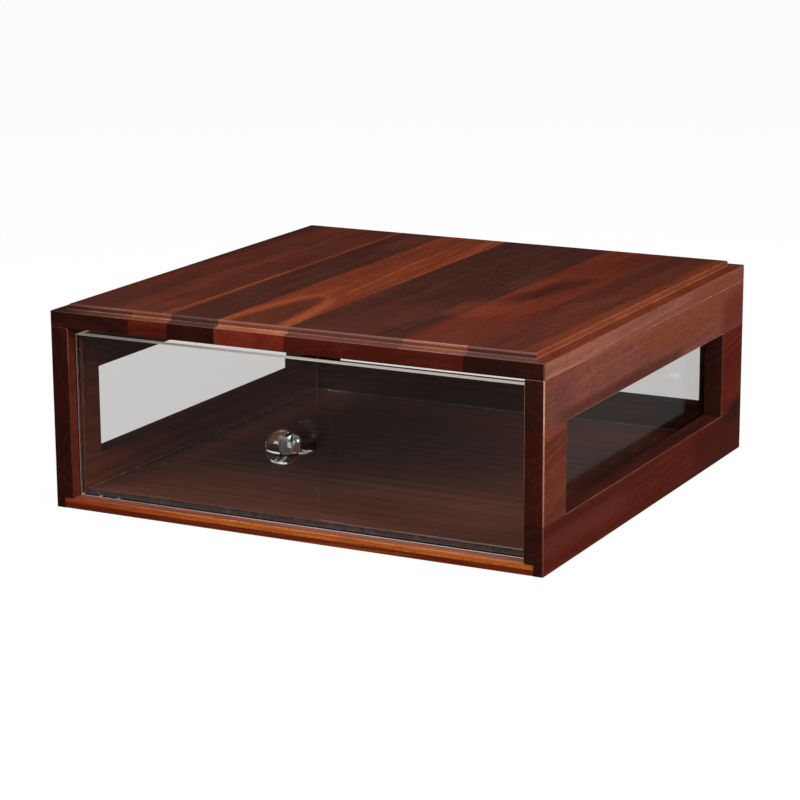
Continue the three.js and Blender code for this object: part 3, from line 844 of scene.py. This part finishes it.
BACK_EDGES = (("#200c08", "#301410", "#421d15"), ("#4a261a", "#7c4c38", 0.4))
BACK_HEARTS = {"upper_rail": 120, "right_stile": 90, "left_stile": 60, "lower_rail": 10}
FIRST_BACK_SEED = 19

for seed, (part, height) in enumerate(BACK_HEARTS.items(), FIRST_BACK_SEED):
    RAIL_WOODS[f"back_{part}"] = dict(stains=OXBLOOD, grain="x", heart=(0, 230, height), seed=seed)
    RAIL_EDGES[f"back_{part}"] = BACK_EDGES

# The bottom board: its faces, its paler sloped lip, and its front

# The board's faces are far paler than the oxblood strips, as painted light for the drawer's inside, which the
# lamps reach only dimly through the acrylic
BOARD_WOOD = dict(
    stains=("#6a3a2c", "#8e5140", "#ae6b56"), grain="x", across="y", heart=(0, 0, -40), ring=6, seed=23,
)
BOARD_ARRIS = ("#8e3612", "#dc8836", 0.5, ("x", -214, -60))
LIP_WOOD = dict(
    stains=AMBER, grain="x", across="y", heart=(0, -260, -10), ring=1.0, seed=24, figure=1.3,
    marks=[(-222, -222, 40, -260, -116, "#983a18", 0.75)],
)
FRONT_WOOD = dict(
    stains=("#6e2212", "#8a301a", "#a04426"), grain="x", across="z", heart=(0, -240, -20), ring=2, seed=25,
    figure=1.2, marks=[(1, 1, 1.2, -300, 110, "#c86c24", 0.6), (3, 3, 30, -300, -116, "#742a1a", 0.6)],
)

slot_of = {entry["node"]: entry["material_slot"] for entry in frame["record"]["subparts"]}


# The top board: rings from its underside up to the field, lofted, then cut into its staves. The moulding
# is a shallow hollow ledge, a small sharp bead, an upright fillet and a rounded arris

def board_rings():
    """Each ring is its share of the field's inset, its own inset, its height, and the finish below it"""
    rings = [(0, SEAM_ARRIS, SIDE_TOP, END), (0, 0, SIDE_TOP + SEAM_ARRIS, ARRIS)]
    outer = arc((LEDGE_ARRIS, LEDGE_TOP - LEDGE_ARRIS), LEDGE_ARRIS, 180, 90, ARRIS_STEPS)
    rings += [(0, inset, z, ARRIS if step else END) for step, (inset, z) in enumerate(outer)]
    for step in range(1, ARRIS_STEPS + 1):
        share = step / ARRIS_STEPS
        rise = LEDGE_RISE * (1 - math.cos(share * math.pi / 2))
        rings.append((share, LEDGE_ARRIS * (1 - share) - BEAD_WIDTH * share, LEDGE_TOP + rise, LEDGE))
    bead_top = LEDGE_TOP + LEDGE_RISE + BEAD_RISE
    rings += [(1, -BEAD_WIDTH, bead_top, LINE), (1, 0, bead_top, LINE)]
    crown = arc((FIELD_ARRIS, FIELD_TOP - FIELD_ARRIS), FIELD_ARRIS, 180, 90, ARRIS_STEPS)
    rings += [(1, inset, z, ARRIS if step else FILLET) for step, (inset, z) in enumerate(crown)]
    return rings


def ring_points(share, inset, z):
    left = CASE_LOW.x + share * FIELD_LEFT_INSET + inset
    right = CASE_HIGH.x - share * FIELD_RIGHT_INSET - inset
    front = CASE_LOW.y + share * FIELD_FRONT_INSET + inset
    back = CASE_HIGH.y - share * FIELD_BACK_INSET - inset
    corner = max(OUTER_CORNER * (1 - share) + FIELD_CORNER * share - inset, LEAST_CORNER)
    points = []
    for centre, start in (
        ((right - corner, front + corner), -90), ((right - corner, back - corner), 0),
        ((left + corner, back - corner), 90), ((left + corner, front + corner), 180),
    ):
        points += arc(centre, corner, start, start + 90, CORNER_STEPS)
    return [Vector((x, y, z)) for x, y in points]


def top_board_blank():
    bm = bmesh.new()
    rings = board_rings()
    loops = [[bm.verts.new(p) for p in ring_points(*ring[:3])] for ring in rings]
    count = len(loops[0])
    for (lower, upper), ring in zip(zip(loops, loops[1:]), rings[1:]):
        for i in range(count):
            j = (i + 1) % count
            face = bm.faces.new((lower[i], lower[j], upper[j], upper[i]))
            on_corner = i % (CORNER_STEPS + 1) != CORNER_STEPS
            face.material_index = ARRIS if on_corner and ring[3] == END else ring[3]
    bm.faces.new(list(reversed(loops[0])))
    bm.faces.new(loops[-1])
    return new_object("top_board_blank", bm)


def mark_side_faces(bm):
    """Gives the faces that turn to the left or right their own finishes"""
    bm.normal_update()
    for face in bm.faces:
        if face.material_index and abs(face.normal.x) > abs(face.normal.y):
            face.material_index += SIDE_SHIFT


def finish_wood(name, bm, finishes, rounded=(ARRIS,)):
    """Makes a strip. Only its rounded faces shade smoothly, so that the flats stay flat"""
    for face in bm.faces:
        face.smooth = face.material_index in rounded
    piece = new_object(f"{name}_wood", bm, finishes)
    sharpen(piece, SHARP_TURN)
    stand_for(piece, "case", slot_of[name], name)


def moulding_finishes(name, mouldings):
    parts = ("arris", "line", "ledge", "fillet")
    return [thinned_stain_and_highlight(f"{part}_{name}", *stain) for part, stain in zip(parts, mouldings)]


def make_top_board():
    blank = top_board_blank()
    rounded = [finish + turn for finish in (ARRIS, LINE, LEDGE) for turn in (0, SIDE_SHIFT)]
    for name in STAVES:
        low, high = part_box(name)
        margin = Vector((0, CUT_MARGIN, CUT_MARGIN))
        cut_low, cut_high = low - margin, high + margin
        wood = STAVE_WOODS[name]
        end_wood = dict(wood, stains=STAVE_ENDS[name], marks=(), arch=None)
        finishes = [
            stained_acacia(f"acacia_{name}", **wood), stained_acacia(f"acacia_end_{name}", **end_wood),
            *moulding_finishes(name, STAVE_MOULDINGS[name]),
        ]
        if name == STAVES[0]:
            cut_low.x -= CUT_MARGIN
        if name == STAVES[-1]:
            cut_high.x += CUT_MARGIN
        bm = part_of(blank, cut_low, cut_high)
        if name in RIM_WOODS:
            mark_side_faces(bm)
            finishes.append(stained_acacia(f"acacia_rim_{name}", **RIM_WOODS[name]))
            finishes += moulding_finishes(f"side_{name}", SIDE_MOULDINGS[name])
        finish_wood(name, bm, finishes, rounded)
    bpy.data.objects.remove(blank)


# A side or the back: one board with its window, its arrises eased, then cut into its rails and stiles

def windowed_board(low, high, window_low, window_high, normal, face):
    """A board with a window through it, eased where it opens in the outer face. normal is the number of
    the axis that the board is thin along, and face is where its outer face is"""
    margin = Vector((0, 0, 0))
    margin[normal] = CUT_MARGIN
    bm = hollowed_block(low, high, window_low - margin, window_high + margin)

    def round_window(p):
        return near(p[normal], face) and all(map(within, p, window_low, window_high))

    ease(bm, edges_where(bm, round_window), WINDOW_ARRIS)
    return bm


def make_rail(name, bm, end_axes):
    """Makes a strip of a side or of the back. Its ends and edges face along end_axes"""
    end_stains, arris = RAIL_EDGES[name]
    bm.normal_update()
    for face in bm.faces:
        if face.material_index == FLAT and any(abs(face.normal[axis]) > FACING for axis in end_axes):
            face.material_index = END
    wood = dict(RAIL_WOODS[name], across="z")
    end_wood = dict(wood, stains=end_stains, marks=())
    finish_wood(name, bm, [
        stained_acacia(f"acacia_{name}", **wood), stained_acacia(f"acacia_end_{name}", **end_wood),
        thinned_stain_and_highlight(f"arris_{name}", *arris),
    ])


def cut_into_strips(name, blank, low, high, along, stiles):
    """Cuts a windowed board into its rails and its two stiles. along is the number of the axis that its
    rails lie along"""
    margin = Vector((CUT_MARGIN, CUT_MARGIN, CUT_MARGIN))
    for part, starts, ends in (
        ("lower_rail", {}, {Z: WINDOW_LOW}),
        ("upper_rail", {Z: WINDOW_HIGH}, {}),
        (stiles[0], {Z: WINDOW_LOW}, {Z: WINDOW_HIGH, along: 0}),
        (stiles[1], {Z: WINDOW_LOW, along: 0}, {Z: WINDOW_HIGH}),
    ):
        part_low, part_high = low - margin, high + margin
        for axis, start in starts.items():
            part_low[axis] = start
        for axis, end in ends.items():
            part_high[axis] = end
        make_rail(f"{name}_{part}", part_of(blank, part_low, part_high), (along, Z))
    bpy.data.objects.remove(blank)


def make_side(name, side):
    inner, outer = side * SIDE_INNER, side * CASE_HIGH.x
    low = Vector((min(inner, outer), CASE_LOW.y, CASE_LOW.z))
    high = Vector((max(inner, outer), CASE_HIGH.y, SIDE_TOP))
    window_low = Vector((low.x, WINDOW_FRONT, WINDOW_LOW))
    window_high = Vector((high.x, WINDOW_REAR, WINDOW_HIGH))
    bm = windowed_board(low, high, window_low, window_high, X, outer)

    def at_outer_end(p):
        return near(p.x, outer) and (near(p.y, CASE_LOW.y) or near(p.y, CASE_HIGH.y))

    def at_mouth(p):
        return near(p.x, inner) and near(p.y, CASE_LOW.y)

    def at_foot(p):
        return near(p.z, CASE_LOW.z) and not near(p.x, inner)

    def at_top(p):
        return near(p.z, SIDE_TOP) and not near(p.x, inner)

    ends = [edge for edge in edges_where(bm, at_outer_end) if near(edge.verts[0].co.y, edge.verts[1].co.y)]
    ease(bm, ends, OUTER_CORNER, CORNER_STEPS)
    ease(bm, edges_where(bm, at_mouth), MOUTH_ARRIS)
    ease(bm, edges_where(bm, at_foot), FOOT_ARRIS)
    ease(bm, edges_where(bm, at_top), SEAM_ARRIS, SEAM_STEPS)
    blank = new_object("side_blank", bm)
    rabbet_ends = sorted((side * (SIDE_INNER - CUT_MARGIN), side * BOARD_RIGHT))
    rabbet_low = Vector((rabbet_ends[0], CASE_LOW.y - CUT_MARGIN, -CUT_MARGIN))
    rabbet_high = Vector((rabbet_ends[1], CASE_HIGH.y + CUT_MARGIN, BOARD_TOP))
    rabbeted = new_object("rabbeted_blank", part_of(blank, rabbet_low, rabbet_high, "DIFFERENCE"))
    bpy.data.objects.remove(blank)
    cut_into_strips(name, rabbeted, low, high, Y, ("front_stile", "rear_stile"))


def make_back():
    low = Vector((-SIDE_INNER, BACK_INNER, BOARD_TOP))
    high = Vector((SIDE_INNER, CASE_HIGH.y, SIDE_TOP))
    window_low = Vector((-BACK_WINDOW_RIGHT, low.y, WINDOW_LOW))
    window_high = Vector((BACK_WINDOW_RIGHT, high.y, WINDOW_HIGH))
    bm = windowed_board(low, high, window_low, window_high, Y, high.y)

    def at_rim(p):
        round_window = abs(p.x) < SIDE_INNER - RIM_MARGIN and within(p.z, WINDOW_LOW, WINDOW_HIGH)
        return near(p.y, high.y) and not round_window

    ease(bm, edges_where(bm, at_rim), SEAM_ARRIS, SEAM_STEPS)
    blank = new_object("back_blank", bm)
    cut_into_strips("back", blank, low, high, X, ("left_stile", "right_stile"))


# The bottom board. Its sloped lip at the front is paler than the rest

LIP, FRONT = 3, 4


def make_bottom_board():
    front, back = CASE_LOW.y, CASE_HIGH.y
    # The upper face is in two parts, because as one it shades a little darker from behind
    outline = [
        (front, 0), (back, 0), (back, BOARD_TOP), (front + BOARD_LIP, BOARD_TOP),
        (front + BOARD_ARRIS_SETBACK, BOARD_TOP), (front, BOARD_TOP - BOARD_ARRIS_RISE),
    ]
    finish_of = {4: LIP, 5: FRONT}
    bm = bmesh.new()
    ends = [[bm.verts.new((x, y, z)) for y, z in outline] for x in (-BOARD_RIGHT, BOARD_RIGHT)]
    for i in range(len(outline)):
        j = (i + 1) % len(outline)
        face = bm.faces.new((ends[0][i], ends[0][j], ends[1][j], ends[1][i]))
        face.material_index = finish_of.get(i, FLAT)
    bm.faces.new(ends[0])
    bm.faces.new(ends[1])

    def along(*corners):
        return [
            edge for y, z in corners for edge in edges_where(bm, lambda p: near(p.y, y) and near(p.z, z))
        ]

    ease(bm, along(outline[4], outline[5]), FOOT_ARRIS)
    ease(bm, along(outline[0], outline[1]), FOOT_ARRIS)
    wood = stained_acacia("acacia_bottom_board", **BOARD_WOOD)
    finish_wood("bottom_board", bm, [
        wood, wood, thinned_stain_and_highlight("arris_bottom_board", *BOARD_ARRIS),
        stained_acacia("acacia_board_lip", **LIP_WOOD), stained_acacia("acacia_board_front", **FRONT_WOOD),
    ])


# The drawer: sheets welded with solvent into one clear body, open at the top. The welds show as dull
# beads along the inner corners, and as dull films where the end of one sheet meets the next

CUT_EDGE, BEAD, SHEET_END = 1, 2, 3


def make_drawer(finishes):
    outer_high = Vector((-DRAWER_LOW.x, DRAWER_REAR, DRAWER_TOP))
    hollow_high = Vector((-HOLLOW_LOW.x, HOLLOW_REAR, DRAWER_TOP + CUT_MARGIN))
    bm = hollowed_block(DRAWER_LOW, outer_high, HOLLOW_LOW, hollow_high)

    def in_hollow(p):
        return within(p.x, HOLLOW_LOW.x, -HOLLOW_LOW.x) and within(p.y, HOLLOW_LOW.y, HOLLOW_REAR)

    def on_outside(p):
        return not in_hollow(p)

    def at_hollow_rim(p):
        return near(p.z, DRAWER_TOP) and in_hollow(p)

    def turns_over(edge):
        one, other = edge.link_faces
        return abs(one.normal.z - other.normal.z) > RIM_TURN

    rim = edges_where(bm, at_hollow_rim)
    welds = [edge for edge in edges_where(bm, in_hollow) if edge not in rim]
    ease(bm, welds, CEMENT_BEAD, ARRIS_STEPS, BEAD)
    ease(bm, edges_where(bm, on_outside), ACRYLIC_ARRIS, ARRIS_STEPS, CUT_EDGE)
    rim = [edge for edge in edges_where(bm, at_hollow_rim) if turns_over(edge)]
    ease(bm, rim, ACRYLIC_ARRIS / 2, SEAM_STEPS, CUT_EDGE)

    # The front sheet's ends are parted from the side walls, because they have a finish of their own
    everything = bm.verts[:] + bm.edges[:] + bm.faces[:]
    bmesh.ops.bisect_plane(bm, geom=everything, plane_co=HOLLOW_LOW, plane_no=(0, 1, 0))
    bm.normal_update()
    for face in bm.faces:
        face.smooth = face.material_index > 0
        middle = face.calc_center_median()
        at_side = abs(face.normal.x) > FACING and near(abs(middle.x), -DRAWER_LOW.x)
        if face.normal.z > FACING and near(middle.z, DRAWER_TOP):
            face.material_index = CUT_EDGE
        elif at_side and middle.y < HOLLOW_LOW.y:
            face.material_index = SHEET_END
    shell = new_object("drawer_shell", bm)
    bore = KNOB_BORE / 2
    reach = CUT_MARGIN / 2
    profile = [(0, -reach), (bore, -reach), (bore, reach), (0, reach)]
    drill = turned(profile, INSERT_SIDES, KNOB_HIGH.y, KNOB_MIDDLE)
    bm = cut_by(shell, drill, "DIFFERENCE")
    bpy.data.objects.remove(shell)
    drawer = new_object("drawer_box", bm, finishes)
    stand_for(drawer, "drawer", "clear_acrylic",
              "drawer_front", "drawer_floor", "drawer_left_wall", "drawer_right_wall", "drawer_back_wall")


def make_weld_films(films):
    """Thin films where the ends of the side walls and of the floor meet the front and the back"""
    side, wall = -HOLLOW_LOW.x, -DRAWER_LOW.x - ACRYLIC_ARRIS
    under, floor_top = DRAWER_LOW.z + ACRYLIC_ARRIS, HOLLOW_LOW.z
    top = DRAWER_TOP - ACRYLIC_ARRIS
    floor_span = [(-side, side, floor_top)]
    corner_spans = [(-wall, -side, top), (side, wall, top)]
    for name, y, spans in (
        ("floor_front_weld", HOLLOW_LOW.y, floor_span), ("floor_rear_weld", HOLLOW_REAR, floor_span),
        ("front_corner_welds", HOLLOW_LOW.y, corner_spans), ("rear_corner_welds", HOLLOW_REAR, corner_spans),
    ):
        bm = bmesh.new()
        for left, right, height in spans:
            block(bm, (left, y - CEMENT_FILM / 2, under), (right, y + CEMENT_FILM / 2, height))
        piece = new_object(name, bm, [films[name]])
        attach(piece, "drawer")


def make_knob(acrylic, steel):
    face = KNOB_HIGH.y
    ball_radius = (KNOB_HIGH.z - KNOB_LOW.z) / 2
    neck = KNOB_NECK / 2
    ball_middle = KNOB_NECK_LENGTH + math.sqrt(ball_radius ** 2 - neck ** 2)
    insert_radius = (INSERT_HIGH.x - INSERT_LOW.x) / 2
    insert_reach = face - INSERT_LOW.y
    insert_start = face - INSERT_HIGH.y
    start = -math.degrees(math.acos(neck / ball_radius))
    ball = arc((0, ball_middle), ball_radius, start, 90, BALL_SIDES // 2)
    ball[-1] = (0, ball[-1][1])
    bore = insert_radius + BORE_GAP
    profile = [
        (0, insert_reach + END_GAP), (bore, insert_reach + END_GAP), (bore, KNOB_STANDOFF),
        (neck + KNOB_NECK_FLARE, KNOB_STANDOFF), (neck + KNOB_NECK_FLARE, KNOB_NECK_FLARE / 2),
        (neck, KNOB_NECK_LENGTH / 2), *ball,
    ]
    knob = new_object("knob_clear_ball", turned(profile, BALL_SIDES, face, KNOB_MIDDLE), [acrylic])
    sharpen(knob, SHARP_TURN)
    stand_for(knob, "drawer", "clear_acrylic", "knob_ball")

    insert = [(0, insert_reach), (insert_radius - INSERT_CHAMFER, insert_reach)]
    insert.append((insert_radius, insert_reach - INSERT_CHAMFER))
    pitch = (insert_reach - insert_start) / (INSERT_GROOVES + 1)
    for groove in range(1, INSERT_GROOVES + 1):
        place = insert_reach - groove * pitch
        insert += [
            (insert_radius, place + INSERT_GROOVE), (insert_radius - INSERT_GROOVE, place),
            (insert_radius, place - INSERT_GROOVE),
        ]
    insert += [(insert_radius, insert_start), (0, insert_start)]
    grooved = turned(insert, INSERT_SIDES, face, KNOB_MIDDLE)
    knob_insert = new_object("knob_threaded_insert", grooved, [steel])
    sharpen(knob_insert, INSERT_SHARP_TURN)
    stand_for(knob_insert, "drawer", "bright_steel", "knob_insert")


def make_hidden_fastenings():
    beech = bare_beech("bare_beech")
    zinc = turned_steel("zinc_plated_steel", "z", "#8b8f94", "#bfc3c7")
    for name, node in frame["nodes"].items():
        if "dowel" in name or "screw" in name or "washer" in name:
            node.data.materials.clear()
            node.data.materials.append(beech if "dowel" in name else zinc)


make_top_board()
make_side("right", 1)
make_side("left", -1)
make_back()
make_bottom_board()
make_drawer([
    cast_acrylic("cast_acrylic_sheet", 0.1 * MM),
    # The cut edge glows with painted light; the weld bead's and the sheet ends' rose and brown tones are painted
    # reflections of the wood round them
    cut_acrylic_edge_painted_glow("cut_acrylic_edge_painted_glow", "#f2e6da", "#a8a09a", 0.5),
    cut_acrylic_edge_painted_glow("acrylic_weld_bead", "#8c7670", "#5c4a46", 0.02),
    cut_acrylic_edge_painted_glow("sheet_end_beside_wood", "#8c665c", "#6a443a", 0.03),
])
# The weld films' rose and brown tones are painted reflections of the wood round them, and the pale film has a
# faint painted glow
make_weld_films({
    "floor_front_weld": cut_acrylic_edge_painted_glow("dark_weld_film", "#5a4e4e", "#3c3231", 0.0),
    "floor_rear_weld": cut_acrylic_edge_painted_glow("rose_weld_film", "#8a625a", "#6c4a44", 0.0),
    "front_corner_welds": cut_acrylic_edge_painted_glow("dusky_weld_film", "#80564c", "#5c3c34", 0.0),
    "rear_corner_welds": cut_acrylic_edge_painted_glow("pale_weld_film", "#a2948e", "#85756f", 0.05),
})
make_knob(
    cast_acrylic("turned_acrylic", 0.0),
    turned_steel("turned_stainless_steel", "y", "#8c9095", "#c6cacd"),
)
make_hidden_fastenings()


# The floor: a pale sheet that the camera sees as white, with the object's own soft shadow on it. It is
# darker through the acrylic, and almost black where the acrylic or the lacquer mirrors it

FLOOR_SIZE = 60
FLOOR_SHADE = "#464646"
FLOOR_SEEN = 0.95
FLOOR_THROUGH = 0.66
FLOOR_MIRRORED = 0.03
# A ray that has been mirrored at all has more mirrorings than this
FIRST_MIRRORING = 0.5


def pale_floor():
    material, tree = new_material("pale_floor")
    path = add(tree, "ShaderNodeLightPath").node.outputs
    unmirrored = add(tree, "ShaderNodeMath", {
        0: path["Glossy Depth"], 1: FIRST_MIRRORING,
    }, operation="LESS_THAN")
    through = add(tree, "ShaderNodeMath", {
        0: path["Is Transmission Ray"], 1: unmirrored,
    }, operation="MULTIPLY")
    glow = 0.0
    for ray, level in (
        (path["Is Camera Ray"], FLOOR_SEEN), (through, FLOOR_THROUGH),
        (path["Is Glossy Ray"], FLOOR_MIRRORED),
    ):
        glow = add(tree, "ShaderNodeMath", {0: ray, 1: level, 2: glow}, operation="MULTIPLY_ADD")
    card = add(tree, "ShaderNodeBsdfDiffuse", {"Color": linear(FLOOR_SHADE)})
    white = add(tree, "ShaderNodeEmission", {"Color": (1, 1, 1, 1), "Strength": glow})
    both = add(tree, "ShaderNodeAddShader", {0: card, 1: white})
    add(tree, "ShaderNodeOutputMaterial", {"Surface": both})
    return material


floor_mesh = bmesh.new()
bmesh.ops.create_grid(floor_mesh, x_segments=1, y_segments=1, size=FLOOR_SIZE / 2)
floor = new_object("floor", floor_mesh, [pale_floor()])


# The studio: soft boxes overhead and at the right, a weaker one in front, and a dim room round them

OBJECT_MIDDLE = Vector((0, 0, FIELD_TOP / 2))


def soft_box(name, place, size, watts):
    """A rectangular lamp, in metres, that faces the middle of the object"""
    light = bpy.data.lights.new(name, "AREA")
    light.shape = "RECTANGLE"
    light.size, light.size_y = size
    light.energy = watts
    lamp = bpy.data.objects.new(name, light)
    lamp.location = place
    lamp.rotation_mode = "QUATERNION"
    lamp.rotation_quaternion = (OBJECT_MIDDLE - Vector(place)).to_track_quat("-Z", "Y")
    scene.collection.objects.link(lamp)


soft_box("overhead_box", (0.2, 0.1, 1.7), (1.8, 1.8), 21)
soft_box("right_box", (1.9, -0.5, 0.9), (1.0, 1.2), 33)
soft_box("front_box", (-0.7, -1.7, 1.5), (1.2, 0.7), 22)

ROOM_LOW_RISE = 0.5
ROOM_HIGH_RISE = 0.9
ROOM_LOW_LEVEL = 0.005
ROOM_HIGH_LEVEL = 0.35

world = bpy.data.worlds.new("dim_room")
scene.world = world
world.use_nodes = True
world.node_tree.nodes.clear()
room = world.node_tree
direction = add(room, "ShaderNodeTexCoord").node.outputs["Generated"]
rise = add(room, "ShaderNodeSeparateXYZ", {"Vector": direction}, "Z")
level = add(room, "ShaderNodeMapRange", {
    VALUE: rise, FROM_LOW: ROOM_LOW_RISE, FROM_HIGH: ROOM_HIGH_RISE,
    TO_LOW: ROOM_LOW_LEVEL, TO_HIGH: ROOM_HIGH_LEVEL,
})
seen = add(room, "ShaderNodeLightPath").node.outputs["Is Camera Ray"]
room_light = add(room, "ShaderNodeMath", {0: level, 1: seen}, operation="MAXIMUM")
backdrop = add(room, "ShaderNodeBackground", {"Color": (1, 1, 1, 1), "Strength": room_light})
add(room, "ShaderNodeOutputWorld", {"Surface": backdrop})


# The camera, solved from the photograph's corners

CAMERA_AZIMUTH = math.radians(27.253)
CAMERA_ELEVATION = math.radians(13.852)
CAMERA_ROLL = math.radians(-0.304)
CAMERA_DISTANCE = 2.2708
CAMERA_RIGHT = -9.66 * MM
CAMERA_UP = -12.03 * MM
AIM_HEIGHT = 80 * MM
CAMERA_LENS = 118.34
CAMERA_SENSOR = 36

back_ray = Vector((
    math.sin(CAMERA_AZIMUTH) * math.cos(CAMERA_ELEVATION),
    -math.cos(CAMERA_AZIMUTH) * math.cos(CAMERA_ELEVATION),
    math.sin(CAMERA_ELEVATION),
))
level_turn = (-back_ray).to_track_quat("-Z", "Y").to_matrix()
camera_turn = level_turn @ Euler((0, 0, CAMERA_ROLL)).to_matrix()
camera_data = bpy.data.cameras.new("camera")
camera_data.lens = CAMERA_LENS
camera_data.sensor_width = CAMERA_SENSOR
camera = bpy.data.objects.new("camera", camera_data)
right, up = camera_turn.col[0], camera_turn.col[1]
aim = Vector((0, 0, AIM_HEIGHT))
camera.location = aim + back_ray * CAMERA_DISTANCE + right * CAMERA_RIGHT + up * CAMERA_UP
camera.rotation_mode = "QUATERNION"
camera.rotation_quaternion = camera_turn.to_quaternion()
scene.collection.objects.link(camera)
scene.camera = camera
scene.view_settings.view_transform = "Standard"

# Light passes many sheets of acrylic, each with two faces
LIGHT_BOUNCES = 16
scene.cycles.max_bounces = LIGHT_BOUNCES
scene.cycles.transmission_bounces = LIGHT_BOUNCES
scene.cycles.transparent_max_bounces = LIGHT_BOUNCES
